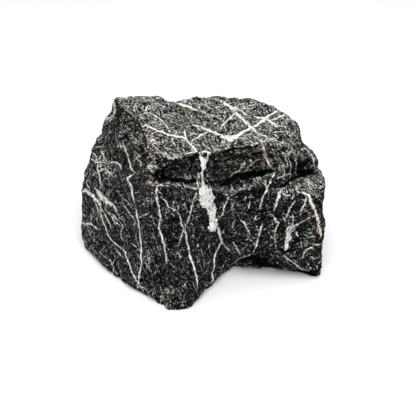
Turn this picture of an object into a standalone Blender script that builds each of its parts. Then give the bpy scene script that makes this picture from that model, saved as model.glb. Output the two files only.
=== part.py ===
"""A piece of seiryu stone: a dark, white-veined limestone block as it is broken from the rock.

One solid in metres, +Z up, standing on z = 0 with the origin under its middle, its broad front
looking along -Y.  Convex blocks bounded by old joints are fused as nature left them: the main
block, a wing to its right, and a cap with a knob above them.  Hollows and open bedding cracks part
the cap from what is below it, and flakes have left shell-shaped scars.  The whole surface is then
broken into facets and bed ends, and the base is flat where the stone rests.
"""
import bmesh
import bpy
from mathutils import Matrix, Vector, noise

MM = 0.001
NAME = "stone"

# Driving dimensions, in millimetres
VOXEL = 1.9             # grid of the remesh that fuses the blocks and wears their edges
SINK = 4.0              # how far the blocks reach below the resting plane before it is cut flat
TRIANGLES = 10500       # left after the decimation, before the cut at the base

# Corners of the blocks: x to the right, y to the back, z up, in millimetres
MAIN_BLOCK = (
    # base, from the foot round to the back
    (-19, -71, -SINK), (-29, -70, -SINK), (-9, -68, -SINK), (-38, -62, 4), (-61, -38, -SINK),
    (-84, -17, 0), (-102, 9, 3), (-106, 23, 4), (-97, 46, -SINK), (-78, 64, -SINK),
    (-30, 74, -SINK), (30, 72, -SINK),
    # right flank, from the foot back into the wing
    (3, -46, -SINK), (28, -8, -SINK), (26, -24, 90),
    # left side up to the shoulder
    (-105, 27, 30), (-104, 34, 62), (-98, 38, 73), (-91, 44, 88), (-90, 56, 84),
    # the lip in front of the crack
    (-38, -41, 101), (-18, -44, 102), (-1, -44, 102), (10, -39, 97), (40, 40, 92),
    (-40, -49, 84), (-20, -53, 84), (0, -52, 82),
    # the bulging back
    (-98, 50, 40), (-80, 67, 56), (-40, 80, 48), (18, 78, 40), (-50, 68, 108), (22, 72, 88),
)
WING = (
    # base, the hollow belly above it and the back
    (28, -6, -SINK), (60, -11, -SINK), (72, -17, -SINK), (101, -23, -SINK), (34, -31, 25),
    (51, -29, 26), (72, -31, 20), (98, -32, 10), (101, 28, -SINK), (84, 55, -SINK),
    (54, 66, -SINK), (20, 60, -SINK), (102, 20, 44), (86, 58, 36), (50, 74, 50),
    (26, 76, 72),
    # top, rising to the crack on the left and stepping down to the shelf
    (14, -42, 78), (22, -39, 58), (27, -31, 96), (48, -21, 97), (64, -21, 87), (97, -20, 75),
    (100, 3, 79), (97, 36, 76), (78, 56, 80), (30, 50, 92),
)
CAP = (
    # top face
    (-91, 44, 88), (-83, 50, 110), (-71, 55, 126), (-50, 59, 127), (2, 58, 126),
    (36, 60, 125), (63, 53, 121), (77, 41, 114), (80, 21, 106), (67, 0, 112),
    (-38, -36, 123), (-22, -40, 124), (-2, -36, 126), (15, -30, 123), (48, -8, 120),
    # front wall down to the crack
    (-60, -16, 80), (-40, -40, 98), (0, -40, 96), (14, -34, 90), (27, -24, 86),
    (48, -14, 88), (65, -18, 86), (80, -3, 82),
    # rear
    (90, 30, 78), (76, 50, 86), (48, 68, 92), (-2, 77, 98), (-60, 72, 88), (-86, 56, 84),
)
KNOB = (
    (76, 16, 99), (84, 20, 101), (90, 18, 98), (96, 14, 91), (97, 8, 86), (93, 0, 84),
    (86, -4, 86), (81, -3, 91), (78, 3, 96), (80, 30, 97), (91, 32, 90), (94, 24, 84),
    (82, 4, 82),
)

# Hollows that frost has opened in the cap's front wall, under its overhanging edge
LEFT_HOLLOW = (
    # mouth, in front of the wall
    (-30, -60, 116), (-17, -60, 119), (-3, -60, 120), (-3, -60, 107), (-24, -60, 108),
    (-41, -60, 108),
    # back, sloping out to the crack
    (-30, -30, 114), (-17, -26, 118), (-5, -28, 119), (-5, -33, 101), (-22, -33, 101),
    (-38, -36, 101), (-4, -42, 104), (-20, -42, 104), (-41, -42, 104),
)
LEFT_POCKET = (
    (-39, -60, 112), (-27, -60, 112), (-26, -60, 105), (-41, -60, 105),
    (-35, -25, 109), (-27, -25, 109), (-26, -25, 103), (-36, -25, 103),
)
RIGHT_HOLLOW = (
    # mouth, in front of the wall
    (9, -60, 118), (30, -60, 118), (52, -60, 116), (50, -60, 113), (28, -60, 111), (8, -60, 108),
    # back, with a floor that falls inwards
    (9, -27, 117), (24, -18, 118), (38, -12, 117), (51, -9, 112), (51, -13, 88), (38, -13, 82),
    (27, -17, 81), (10, -30, 88),
)
RIGHT_NOTCH = (
    (22, -40, 117), (44, -40, 117), (40, -40, 106), (18, -40, 104),
    (27, -13, 115), (43, -7, 115), (38, -9, 106), (24, -16, 104),
)
SHOULDER_NICK = (
    (54, -60, 112), (70, -60, 110), (60, -60, 96), (58, -6, 110), (68, -6, 106), (62, -14, 98),
)
KNOB_CREASE = (
    (76, -30, 107), (84, -30, 105), (85, -30, 82), (77, -30, 82),
    (79, 16, 107), (81, 16, 107), (82, 12, 82), (80, 12, 82),
)

# Open bedding cracks: the points along the mouth and the direction into the stone
CRACKS = (
    (((-41, -39, 103), (-22, -41, 104), (-2, -42, 104), (11, -37, 99), (27, -29, 99),
      (48, -20, 99), (60, -15, 98)), (0, 0.84, -0.54)),
    (((58, -21, 87), (66, -19, 86), (80, -4, 85), (92, 1, 86), (104, 6, 86)), (-0.1, 0.84, -0.5)),
    (((103, 22, 80), (88, 46, 84), (62, 66, 91), (26, 76, 92)), (-0.3, -0.9, -0.2)),
)
CRACK_REACH = (-9, 0, 14)           # before the mouth, at the mouth and at the full depth
CRACK_GAPE = (7.0, 5.0, 3.0)        # how wide the crack is there

# Shell-shaped scars where flakes have come off: a point of the surface, the way it faces,
# the radius of the scar's hollow and its depth, in millimetres
SCARS = (
    ((-22, 56, 126), (0, 0.5, 1), 22, 3.5),
    ((-10, 20, 126), (0.1, 0, 1), 170, 2.2),
    ((48, 26, 122), (0.25, 0.05, 1), 120, 2.0),
    ((-91, 42, 91), (-1, -0.2, 0.5), 40, 3.0),
    ((-62, -30, 44), (-0.75, -0.65, 0.1), 120, 2.2),
    ((-30, -60, 30), (-0.25, -1, 0.1), 110, 1.8),
    ((12, -37, 34), (0.75, -0.65, 0.05), 20, 2.0),
    ((1, -54, 52), (0.35, -1, 0.1), 60, 3.0),
    ((60, -31, 52), (0.1, -1, 0.15), 140, 1.5),
    ((-40, -34, 112), (-0.5, -1, 0.6), 60, 1.5),
    ((71, -1, 109), (0.5, -0.8, 0.5), 30, 3.0),
    ((102, 8, 42), (1, 0, 0.1), 70, 4.0),
    ((98, 40, 30), (1, 0.5, 0), 40, 4.0),
    ((60, 68, 62), (0.2, 1, 0.2), 60, 4.0),
    ((34, 68, 112), (0.1, 1, 0.6), 34, 3.5),
    ((-38, 78, 72), (-0.1, 1, 0.3), 70, 4.5),
    ((-86, 62, 24), (-0.7, 1, 0), 50, 5.0),
    ((0, 79, 22), (0.1, 1, -0.2), 80, 4.0),
    ((44, 70, 12), (0.2, 1, 0), 40, 3.0),
)

# The broken surface: facets as size, tilt, step and seed
FACETS = (
    (30, 0.09, 1.2, 3.7),
    (12, 0.11, 0.7, 11.3),
    (5.5, 0.11, 0.3, 23.9),
)
FACET_EDGE = 0.12                   # share of a facet's size that its worn edge takes
TILT_SPREAD = 7.3                   # neighbouring facets draw their tilts this far apart
STEP_SPREAD = 3.1                   # and their steps this far
STEP_START = Vector((5, 0, 0))

# The beds, which end at the surface in low steps
BEDDING = Vector((-0.36, 0.22, 0.91))
BED_THICKNESS = 8.0
BED_STEP = 1.3
BED_WAVES = ((45, 9), (14, 2))      # length and height of the waves in them
BED_LEAN = 0.75                     # share of a bed's thickness over which its end leans out
BED_PATCH = 38                      # size of the patches in which they show more or less
BED_FADE = (-50, 40)                # fully worn left of the first x, fresh right of the second
BED_LEAST = 0.3                     # share of the step left where they are worn

# The grain, and the wear round the base
GRAIN_SIZE = 9.0
GRAIN_HEIGHT = 0.35
GRAIN_OCTAVES = 3
GRAIN_FINENESS = 2.1                # each octave is this much finer than the one before
GRAIN_DIMENSION = 0.8
FOOT_HEIGHT = 9.0                   # the edge round the base is worn back below this height
FOOT_WEAR = 4.0
FOOT_PATCH = 20                     # size of the patches in which it is worn more or less

# Finish
COLOUR = (0.045, 0.045, 0.046, 1)
SURFACE_ROUGHNESS = 0.8


def clear_scene():
    for old in list(bpy.data.objects):
        bpy.data.objects.remove(old)


def collection(name):
    made = bpy.data.collections.new(name)
    bpy.context.scene.collection.children.link(made)
    return made


def block(name, corners, home):
    """A convex block round its corners, given in millimetres."""
    mesh = bpy.data.meshes.new(name)
    bm = bmesh.new()
    for corner in corners:
        bm.verts.new(Vector(corner) * MM)
    hull = bmesh.ops.convex_hull(bm, input=bm.verts)
    spare = [v for v in hull["geom_interior"] if isinstance(v, bmesh.types.BMVert)]
    bmesh.ops.delete(bm, geom=spare, context="VERTS")
    bmesh.ops.recalc_face_normals(bm, faces=bm.faces)
    bm.to_mesh(mesh)
    bm.free()
    made = bpy.data.objects.new(name, mesh)
    home.objects.link(made)
    return made


def combine(target, other, operation):
    boolean = target.modifiers.new(f"{operation} {other.name}", "BOOLEAN")
    boolean.operation = operation
    boolean.solver = "EXACT"
    boolean.object = other
    other.hide_render = True
    other.display_type = "WIRE"


def bake_modifiers(target):
    """Applies the modifiers of an object, so that its vertices can be moved in code."""
    bpy.context.view_layer.update()
    seen = target.evaluated_get(bpy.context.evaluated_depsgraph_get())
    baked = bpy.data.meshes.new_from_object(seen)
    target.modifiers.clear()
    target.data = baked


def crack(number, mouth, direction, home):
    """A thin wedge that opens the stone along a line of points, in millimetres."""
    inward = Vector(direction).normalized()
    across = inward.cross(Vector((1, 0, 0))).normalized()
    mesh = bpy.data.meshes.new(f"crack_{number}")
    bm = bmesh.new()
    sections = []
    for point in mouth:
        upper = []
        lower = []
        for reach, gape in zip(CRACK_REACH, CRACK_GAPE):
            middle = Vector(point) + inward * reach
            upper.append(bm.verts.new((middle + across * gape / 2) * MM))
            lower.append(bm.verts.new((middle - across * gape / 2) * MM))
        sections.append(upper + lower[::-1])
    for near, far in zip(sections, sections[1:]):
        for side in range(len(near)):
            bm.faces.new((near[side - 1], near[side], far[side], far[side - 1]))
    bm.faces.new(sections[0])
    bm.faces.new(sections[-1])
    bmesh.ops.recalc_face_normals(bm, faces=bm.faces)
    bm.to_mesh(mesh)
    bm.free()
    made = bpy.data.objects.new(mesh.name, mesh)
    home.objects.link(made)
    return made


def scar(number, point, outward, radius, depth, home):
    """A ball whose lower side bites depth into the surface at a point."""
    centre = Vector(point) + Vector(outward).normalized() * (radius - depth)
    bpy.ops.mesh.primitive_ico_sphere_add(subdivisions=4, radius=radius * MM, location=centre * MM)
    ball = bpy.context.object
    ball.name = f"scar_{number}"
    for old in ball.users_collection:
        old.objects.unlink(ball)
    home.objects.link(ball)
    return ball


def facet_height(point, size, tilt, step, seed):
    """Height of a broken surface: flat facets of a size, each tilted and set off by a small step."""
    where = point / size + Vector((seed, -seed, seed / 2))
    distances, centres = noise.voronoi(where)
    heights = []
    for centre in centres[:2]:
        turn = noise.cell_vector(centre * TILT_SPREAD) * 2 - Vector((1, 1, 1))
        set_off = noise.cell_vector(centre * STEP_SPREAD + STEP_START).x - 0.5
        heights.append((where - centre).dot(turn) * size * tilt + set_off * step)
    nearness = min(1, (distances[1] - distances[0]) / FACET_EDGE)
    return heights[1] + (heights[0] - heights[1]) * (0.5 + 0.5 * nearness)


def bedding_height(point):
    """Height of the low steps where the beds end at the surface."""
    drift = sum(noise.noise(point / length) * height for length, height in BED_WAVES)
    share = (point.dot(BEDDING) + drift) / BED_THICKNESS % 1
    ramp = share / BED_LEAN if share < BED_LEAN else (1 - share) / (1 - BED_LEAN)
    patch = noise.noise(point / BED_PATCH) * 0.5 + 0.5
    fade = (point.x - BED_FADE[0]) / (BED_FADE[1] - BED_FADE[0])
    return (ramp - 0.5) * BED_STEP * patch * min(1, max(BED_LEAST, fade))


def grain_height(point):
    return noise.fractal(point / GRAIN_SIZE, GRAIN_DIMENSION, GRAIN_FINENESS, GRAIN_OCTAVES) * GRAIN_HEIGHT


def foot_wear(point):
    """How far the edge round the base is worn back at a point."""
    share = max(0, 1 - point.z / FOOT_HEIGHT)
    return FOOT_WEAR * share * share * (1 + noise.noise(point / FOOT_PATCH))


def weather(mesh):
    """Moves every vertex along its normal, as the break, the beds and the frost have left it."""
    moves = []
    for vertex in mesh.vertices:
        point = vertex.co / MM
        height = bedding_height(point) + grain_height(point)
        for values in FACETS:
            height += facet_height(point, *values)
        level = Vector((vertex.normal.x, vertex.normal.y, 0))
        moves.append((vertex.normal * height - level * foot_wear(point)) * MM)
    for vertex, move in zip(mesh.vertices, moves):
        vertex.co += move


def cut_base(mesh):
    """Cuts the stone flat at z = 0 and closes it there."""
    bm = bmesh.new()
    bm.from_mesh(mesh)
    everything = bm.verts[:] + bm.edges[:] + bm.faces[:]
    cut = bmesh.ops.bisect_plane(bm, geom=everything, dist=1e-7, plane_co=(0, 0, 0),
                                 plane_no=(0, 0, -1), clear_outer=True)
    rim = [e for e in cut["geom_cut"] if isinstance(e, bmesh.types.BMEdge)]
    bmesh.ops.holes_fill(bm, edges=rim, sides=0)
    bmesh.ops.triangulate(bm, faces=bm.faces)
    bmesh.ops.recalc_face_normals(bm, faces=bm.faces)
    bm.to_mesh(mesh)
    bm.free()


def centre_base(stone, cutters):
    """Puts the origin under the middle of the stone, and moves the cutters with it."""
    lowest = [min(v.co[axis] for v in stone.data.vertices) for axis in (0, 1)]
    highest = [max(v.co[axis] for v in stone.data.vertices) for axis in (0, 1)]
    middle = Vector(((lowest[0] + highest[0]) / 2, (lowest[1] + highest[1]) / 2, 0))
    stone.data.transform(Matrix.Translation(-middle))
    for cutter in cutters.objects:
        cutter.location -= middle


def limestone():
    material = bpy.data.materials.new("dark_limestone")
    material.use_nodes = True
    shader = material.node_tree.nodes["Principled BSDF"]
    shader.inputs["Base Color"].default_value = COLOUR
    shader.inputs["Roughness"].default_value = SURFACE_ROUGHNESS
    shader.inputs["Metallic"].default_value = 0
    return material


def main():
    clear_scene()
    shown = collection("seiryu_stone")
    cutters = collection("cutters")
    stone = block(NAME, MAIN_BLOCK, shown)
    for name, corners in (("wing", WING), ("cap", CAP), ("knob", KNOB)):
        combine(stone, block(name, corners, cutters), "UNION")
    for name, corners in (("left_hollow", LEFT_HOLLOW), ("left_pocket", LEFT_POCKET),
                          ("right_hollow", RIGHT_HOLLOW), ("right_notch", RIGHT_NOTCH),
                          ("shoulder_nick", SHOULDER_NICK), ("knob_crease", KNOB_CREASE)):
        combine(stone, block(name, corners, cutters), "DIFFERENCE")
    for number, (mouth, direction) in enumerate(CRACKS):
        combine(stone, crack(number, mouth, direction, cutters), "DIFFERENCE")
    for number, values in enumerate(SCARS):
        combine(stone, scar(number, *values, cutters), "DIFFERENCE")
    remesh = stone.modifiers.new("fuse", "REMESH")
    remesh.mode = "VOXEL"
    remesh.voxel_size = VOXEL * MM
    bake_modifiers(stone)
    weather(stone.data)
    thin = stone.modifiers.new("thin", "DECIMATE")
    thin.ratio = TRIANGLES / (2 * len(stone.data.polygons))
    bake_modifiers(stone)
    cut_base(stone.data)
    centre_base(stone, cutters)
    stone.data.materials.append(limestone())


main()
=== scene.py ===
"""Dresses the seiryu stone: its fine broken surface, its calcite veins and its dark, flecked limestone."""

import math
import random

import bmesh
import bpy
import numpy as np
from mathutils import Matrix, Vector, noise
from mathutils.bvhtree import BVHTree


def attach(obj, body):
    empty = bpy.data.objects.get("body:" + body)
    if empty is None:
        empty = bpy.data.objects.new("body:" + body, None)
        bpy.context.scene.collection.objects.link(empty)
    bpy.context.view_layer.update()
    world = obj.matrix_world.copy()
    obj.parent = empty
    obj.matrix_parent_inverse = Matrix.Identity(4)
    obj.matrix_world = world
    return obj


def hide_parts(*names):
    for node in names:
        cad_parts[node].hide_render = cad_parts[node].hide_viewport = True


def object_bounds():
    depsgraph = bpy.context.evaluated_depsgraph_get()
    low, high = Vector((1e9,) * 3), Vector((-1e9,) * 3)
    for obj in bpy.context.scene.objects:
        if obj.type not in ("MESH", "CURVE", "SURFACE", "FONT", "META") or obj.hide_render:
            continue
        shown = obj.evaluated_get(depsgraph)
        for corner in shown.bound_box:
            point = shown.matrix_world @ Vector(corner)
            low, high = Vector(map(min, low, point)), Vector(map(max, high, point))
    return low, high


MM = 0.001
MERGE_DISTANCE = 1e-6  # in metres

# The camera, in millimetres in the frame
CAMERA_TARGET = Vector((6.152, -5.585, 53.0))
CAMERA_ELEVATION = math.radians(33)
CAMERA_DISTANCE = 818.5
LENS = 85.0
SENSOR = 36.0
IMAGE_SIDE = 416
CAMERA_BACK = Vector((0, -math.cos(CAMERA_ELEVATION), math.sin(CAMERA_ELEVATION)))
CAMERA_UP = Vector((0, math.sin(CAMERA_ELEVATION), math.cos(CAMERA_ELEVATION)))
EYE = CAMERA_TARGET + CAMERA_BACK * CAMERA_DISTANCE
PIXEL = SENSOR / LENS / IMAGE_SIDE  # a pixel's width at a distance of one

# The studio, in metres
FLOOR_RADIUS = 3.0
FLOOR_SIDES = 96
FLOOR_COLOUR = (0.93, 0.93, 0.93, 1)
FLOOR_ROUGHNESS = 0.9
COVE_RADIUS = 1.0
COVE_STEPS = 12
WALL_HEIGHT = 2.0
KEY_FROM = Vector((0.06, -0.62, 1.0)).normalized()
KEY_DISTANCE = 1.1
KEY_SIZE = 0.8
KEY_POWER = 8.5
SKY = (0.90, 0.90, 0.90, 1)
GROUND = (0.60, 0.60, 0.60, 1)
SKY_RISE = (-0.2, 0.5)  # the heights between which the ground gives way to the sky

# The fine surface, in millimetres
GRID = 1.13
KEEP_VOLUME = (0.5, -0.53) * 2  # steps of smoothing, each followed by one outwards
FLAKES = ((7.5, 0.10, 0.45, 5.1), (3.4, 0.13, 0.22, 17.7))  # size, tilt, step and seed
FLAKE_EDGE = 0.14
FLAKE_TILT_KEY = 7.3
FLAKE_STEP_KEY = 3.1
TERRACE_SIZE = 16.0
TERRACE_COUNT = 5.0
TERRACE_STEP = 0.42
TERRACE_EDGE = 0.16
BEDDING = Vector((-0.36, 0.22, 0.91))
CLEAVAGE = Vector((0.80, -0.25, 0.50))
TOP_CLEAVAGE = Vector((0.62, 0.72, 0.30))
LAMINA = 3.1
LAMINA_STEP = 0.42
LAMINA_WAVES = ((30, 5.0), (9, 1.2))  # length and height
LAMINA_LEAN = 0.7
BEDDED_LEAST = 0.08
BEDDED_FROM = -5.0
BEDDED_OVER = 45.0
BEDDED_DRIFT = 25.0
BEDDED_DRIFT_SIZE = 15.0
GRAIN_SIZE = 2.6
GRAIN_HEIGHT = 0.20
FINER_GRAIN = 2.1
FINER_GRAIN_SHARE = 0.6
BASE_HEIGHT = 0.45  # what starts lower than this stays on the floor
LEAST_HEIGHT = 0.02  # what ends lower than this is put on the floor
FLOOR_TOUCH = 1e-7  # in metres
FLAT_ANGLE = 0.01
BOX_GAP = 0.01
RISE_STEPS = (0.5,) * 5
FACING_STEPS = (0.5,) * 4
SEEN_STEPS = (0.5,) * 12
SEEN_SLACK = 1.5

# Three masks, each with the value where it starts, and over how much it grows to one: the relief by a
# point's height in millimetres, and the looks by how far a face turns upwards or to the left; these looks
# include painted light on the top and on faces that turn left
BASE_RISE = (0.3, 1.2)
UPWARD = (0.40, 0.30)
LEFTWARD = (0.05, 0.40)

# Veins seen from the front: width in pixels, brightness, then the points along it in pixels.
# A third number at a point is the width there.
TOP_VEINS = (
    (2.3, 0.95, ((142, 126.5), (146.5, 126), (153, 129), (160, 132), (166, 134), (174, 136), (181, 137),
                (186, 139), (188.5, 142.5), (193, 147), (196, 150.5), (200, 153.5))),
    (2.4, 0.95, ((185, 129), (185, 134), (185.5, 139))),
    (2.6, 1.0, ((193, 125.5), (200, 127), (208, 130), (217, 134, 3.2), (225, 137, 4.5),
                (230.5, 138.5, 5.5), (236, 136.5, 4), (241, 133, 3.2), (247, 130, 3), (251, 127.5, 2.8),
                (256, 125.5, 2.8), (261, 122, 3.2), (265, 119, 3.8), (267.5, 117, 3), (273, 113.5),
                (279, 110, 2))),
    (2.2, 0.95, ((208, 131.5), (200, 136), (195.5, 138.5), (191.5, 142))),
    (3.4, 1.0, ((219.8, 100.7, 2), (227.5, 104.5), (235.7, 108.5, 4.4), (242, 112), (248, 115.5, 2.2))),
    (1.4, 0.7, ((241, 109), (250, 108))),
    (2.0, 0.9, ((234.5, 111.5), (236, 113.5, 2.6), (241, 117.5, 3), (244.5, 121, 3.6), (248, 124.5, 3.8),
                (251, 127.5, 3.2), (255, 131.5), (261, 134.5, 1.4), (267.5, 137.5, 1.2),
                (275, 140.5, 1.2), (285, 143.5, 1))),
    (1.8, 0.85, ((236, 112.5), (233, 115), (228, 120), (224, 124), (220, 129))),
    (1.8, 0.9, ((253, 116), (259, 117.5, 2.6), (264.5, 119, 4), (270, 121, 2.8), (276.5, 126),
                (282, 126, 1))),
    (1.8, 0.9, ((268, 119.5), (276, 119), (280.5, 116.7), (285, 115), (290, 119))),
    (1.2, 0.5, ((246, 107), (251, 105), (257.5, 104), (262.5, 106))),
    (1.2, 0.5, ((272, 133.5), (276.5, 131.5), (288, 131.5), (290.5, 133.5))),
    (2.6, 1.0, ((173.6, 100.6), (177.7, 103.7), (186, 106, 3), (193, 109), (199, 110.5, 1.6))),
    (1.2, 0.6, ((199, 110.5), (209.5, 115), (222, 119))),
    (1.4, 0.7, ((138.5, 115.5), (143, 113.5), (150, 112.6), (156, 116.5), (160, 119), (163, 122),
                (166.5, 125.6), (169.5, 132))),
    (1.4, 0.8, ((184, 155), (189, 153), (196, 152))),
    (1.3, 0.7, ((172, 138), (173.6, 143), (175.6, 146))),
    (1.5, 0.7, ((125, 97.6), (135, 100))),
    (1.5, 0.6, ((142, 96.5), (146.5, 100))),
    # a painted highlight along the top's left ridge, laid as a pale vein and tinted by the stains there
    (3.4, 0.62, ((113.5, 98.5, 1.6), (115, 102), (115.5, 107), (114.5, 112), (112.5, 116, 1.6))),
    (1.4, 0.25, ((120, 104.5), (126, 109.5), (132, 114.5), (137, 119.5))),
    (1.8, 0.5, ((116, 99), (123, 97), (130, 96.5))),
    (1.4, 0.6, ((146.5, 140), (150.6, 138.4), (158, 142.4))),
    (1.1, 0.3, ((146, 105.5), (153, 106.5), (160.5, 105), (168, 108.5))),
    (1.1, 0.45, ((202, 104), (208, 107.5), (214, 109))),
    (1.6, 0.7, ((104.5, 119), (109, 117.5), (114, 116.5))),
    (2.6, 0.2, ((259.7, 140, 2), (262.5, 146), (264.5, 153), (268, 162, 2.2), (274, 170.5, 1.4))),
    (1.0, 0.45, ((273.8, 179), (281.6, 176.7), (289.4, 173.6), (291.7, 168), (289.4, 162), (287.8, 155.6),
                (292.5, 151))),
    (1.0, 0.4, ((287.8, 166.6), (286, 160), (284.7, 154), (287.8, 149.4), (289.4, 144.7))),
    (1.0, 0.4, ((295.6, 149.4), (294.8, 155.6), (296.4, 163.4), (295.6, 171))),
    (1.0, 0.45, ((274, 146), (279, 143.5), (285, 143), (290, 145.5), (293, 150), (293.5, 157))),
    (1.0, 0.35, ((283, 166), (284.5, 172), (282.5, 178), (287, 181))),
    (1.4, 0.55, ((259, 140.5), (263, 142), (266.5, 139.5), (271, 141))),
    (1.2, 0.5, ((261.5, 146.5), (264.5, 150), (263.5, 155), (267, 160), (269.5, 165.5), (272.5, 168))),
    (1.1, 0.42, ((244, 162.7), (241.5, 167), (239.4, 171), (233, 173.6), (230, 177.5))),
    (1.0, 0.38, ((248.8, 166.6), (245.6, 171), (239.5, 176))),
    (1.0, 0.38, ((256, 160), (251, 164.5), (247, 168))),
)
CENTRAL_VEIN = (
    (3.0, 0.95, ((199, 152.5, 3), (201, 157, 4), (203.5, 162.5, 5), (203, 168, 4.2), (202, 172, 2.6))),
    (2.4, 0.85, ((209, 152, 1.4), (208, 156), (206.5, 160, 3), (204.2, 165))),
    (1.8, 0.9, ((199, 152.5), (204, 151.5), (209.5, 152.3), (210.5, 155))),
    (1.8, 0.8, ((201.5, 171), (199, 175.5), (197, 180), (197.5, 185), (199, 189))),
    (2.2, 0.9, ((202, 171), (202.4, 176), (202.6, 181, 2.6), (203.5, 187, 4))),
    (9.0, 1.0, ((203, 185, 5), (204, 190, 10), (206, 195, 11.5), (208.6, 201, 11), (210.8, 206, 8.5),
                (212.4, 212, 7), (213, 217.5, 7), (213.3, 222, 8), (214, 228, 8.5), (215.5, 231, 4.5))),
    (3.0, 0.95, ((217, 226), (218.5, 231), (219.7, 236), (221, 240), (222.8, 243.5, 4))),
    (1.7, 0.85, ((221.5, 242.5), (219, 245.5), (216, 252), (214, 258), (214, 265.5), (211.5, 273),
                (211.8, 277.5), (208.3, 283))),
    (1.4, 0.8, ((223, 243.5), (226, 247), (228.7, 251.5))),
    (2.2, 0.85, ((233.3, 241.7, 1.2), (235.5, 245.5), (238, 251), (240, 254.3, 2.8))),
    (1.4, 0.75, ((197.4, 192.6), (193.4, 200), (191.4, 208), (189.4, 216.7), (186.7, 224), (184, 228.6))),
    (1.6, 0.85, ((184, 228.6), (181.5, 224.7), (180, 215, 1.1), (174.3, 209.5, 1), (169, 208, 1.4),
                (165.5, 200.7, 1.4), (161, 197, 1))),
    (1.2, 0.7, ((184, 229), (182, 234), (180, 240.6), (178.3, 246))),
    (1.9, 0.95, ((184.5, 228.6), (186, 234), (188, 245.5), (190, 256.6, 2.2), (193, 263.7), (195, 271.7),
                (196.6, 279.7), (197.4, 288.5, 1.3))),
    (1.3, 0.6, ((185.5, 185.6), (195, 188.8), (199, 190))),
    (1.4, 0.7, ((207, 264), (211, 260))),
    (1.4, 0.7, ((229, 191), (233, 189.3), (237, 192), (234, 194))),
    (1.3, 0.7, ((221.5, 269), (221, 273))),
    (1.2, 0.6, ((224.5, 228.5), (222.3, 233.3))),
)
FRONT_VEINS = (
    (1.5, 0.8, ((122.3, 140), (124.8, 147.5), (126.8, 151.4), (128.3, 157), (129.8, 163.4),
                (130.3, 167.4), (134.2, 171.8), (138.2, 174.8))),
    (1.9, 0.95, ((133.7, 174.3), (128.3, 177.3), (127.8, 179.8), (130.3, 183.8), (131.8, 188.8),
                (133.2, 195.7), (135.2, 204), (136.5, 210), (138.2, 219.6), (139.3, 228.5), (140, 238),
                (141.3, 246), (141, 255), (141.8, 261.7), (140.4, 269), (139.3, 277.4), (138.2, 284.7))),
    (1.7, 0.85, ((157, 187), (157, 201.5), (159.5, 209.5), (160.7, 218), (158.6, 226.5), (161.3, 234),
                (163, 240), (164, 246), (166.3, 256.6), (167, 263.7, 0.9))),
    (1.9, 0.95, ((100.5, 213), (103.3, 221), (105.6, 227.4), (108, 234), (112.3, 240.3), (115.7, 243.7),
                (120.2, 247), (124.7, 251), (127, 258.3), (129.8, 264.5), (131, 271), (134.8, 277.4),
                (138.2, 283), (137.6, 288.7))),
    (1.2, 0.6, ((115.7, 248), (121.3, 256.6))),
    (1.2, 0.6, ((106.7, 240), (109.5, 243.7))),
    (1.5, 0.85, ((139.3, 286.4), (144.5, 289.2), (152, 298.8, 1))),
    (3.0, 0.95, ((78, 193), (82, 191.7), (86.5, 190.2, 3.6), (92, 195, 4.2), (97, 200.7), (100, 205, 2.4),
                (101, 213, 1.6))),
    (3.0, 1.0, ((94, 187.5, 1.6), (97.5, 191.5, 3.6), (101.5, 195.5, 4.6), (106, 199.5, 4.4),
                (111, 203.7, 3.4), (117, 209.5, 1.6))),
    (5.0, 0.5, ((98, 197, 2), (102, 202, 5), (106.5, 207, 6), (111, 213, 5), (114.5, 219, 2))),
    (1.3, 0.8, ((108, 200.5), (113, 206), (117.5, 212.5), (120.5, 219))),
    (1.2, 0.7, ((99, 203), (103, 210.5), (107, 218), (110.5, 225.5), (112, 231))),
    (1.1, 0.6, ((93, 199), (97, 206), (99.5, 212))),
    (1.7, 0.8, ((97, 200), (103, 206), (108.6, 213), (114, 220), (120, 225.5))),
    (1.2, 0.7, ((104, 203), (108, 212), (113, 219), (116, 226))),
    (1.2, 0.6, ((110, 208), (115, 216), (119, 222))),
    (2.4, 0.95, ((82, 223), (85.4, 224), (91, 223.5), (93.8, 226.3), (99, 230, 1.2))),
    (2.0, 0.9, ((82, 213), (84.8, 216))),
    (1.5, 0.8, ((93, 151.4), (96, 156.4), (97.4, 162), (98, 168), (99, 172), (99.7, 178), (100.4, 183),
                (101, 187), (99.4, 190))),
    (1.2, 0.7, ((100.4, 149.5), (103, 154), (105.4, 159), (106.4, 161))),
    (1.4, 0.75, ((89.5, 159), (93.4, 160), (96.4, 162.4), (104.4, 162.6))),
    (1.9, 0.9, ((109.4, 163), (112.8, 162), (116.8, 163), (120.3, 165.4), (121.8, 170))),
    (1.2, 0.7, ((106.4, 170), (110, 173.3), (113.8, 176.8))),
    (1.3, 0.7, ((92.4, 176.3), (96.4, 171.8), (103, 170), (105, 168.4))),
    (1.3, 0.7, ((88.5, 179.3), (86, 182.3), (88.5, 186.8), (90.5, 191))),
    (1.2, 0.65, ((122.3, 199.7), (123.3, 204), (127.5, 210.6), (134.8, 219.6))),
    (1.1, 0.6, ((126.3, 199.7), (129.3, 204), (132.2, 208.7))),
    (1.1, 0.7, ((118, 219.6), (121.3, 223), (123.6, 227, 1.6), (120.7, 232), (121.3, 237), (125, 242))),
    (1.2, 0.6, ((130.3, 243), (134.8, 245.4), (138.2, 250))),
    (1.1, 0.6, ((137, 253.8), (140.4, 257.8))),
    (1.1, 0.5, ((127, 235.3), (131.4, 237))),
    (1.3, 0.7, ((144.5, 262.5), (148.3, 266.7), (152, 272.4))),
    (1.2, 0.6, ((109, 258.3), (113, 265.6), (114, 271.8))),
    (1.3, 0.45, ((139, 217.3), (142, 216), (145.5, 214.5, 3), (149, 213.5, 1))),
    (1.2, 0.5, ((118, 143), (118.3, 147.5))),
    (1.2, 0.5, ((116.3, 190), (119.3, 193.7))),
    (1.8, 0.6, ((118.5, 137), (120, 136), (122, 137))),
    (1.2, 0.5, ((135.3, 138.4), (137.3, 142))),
    (1.2, 0.6, ((94.4, 251), (97.2, 255))),
    (1.2, 0.6, ((99, 251), (102.2, 255))),
    (1.1, 0.4, ((160, 286), (164, 299.6))),
)
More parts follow.
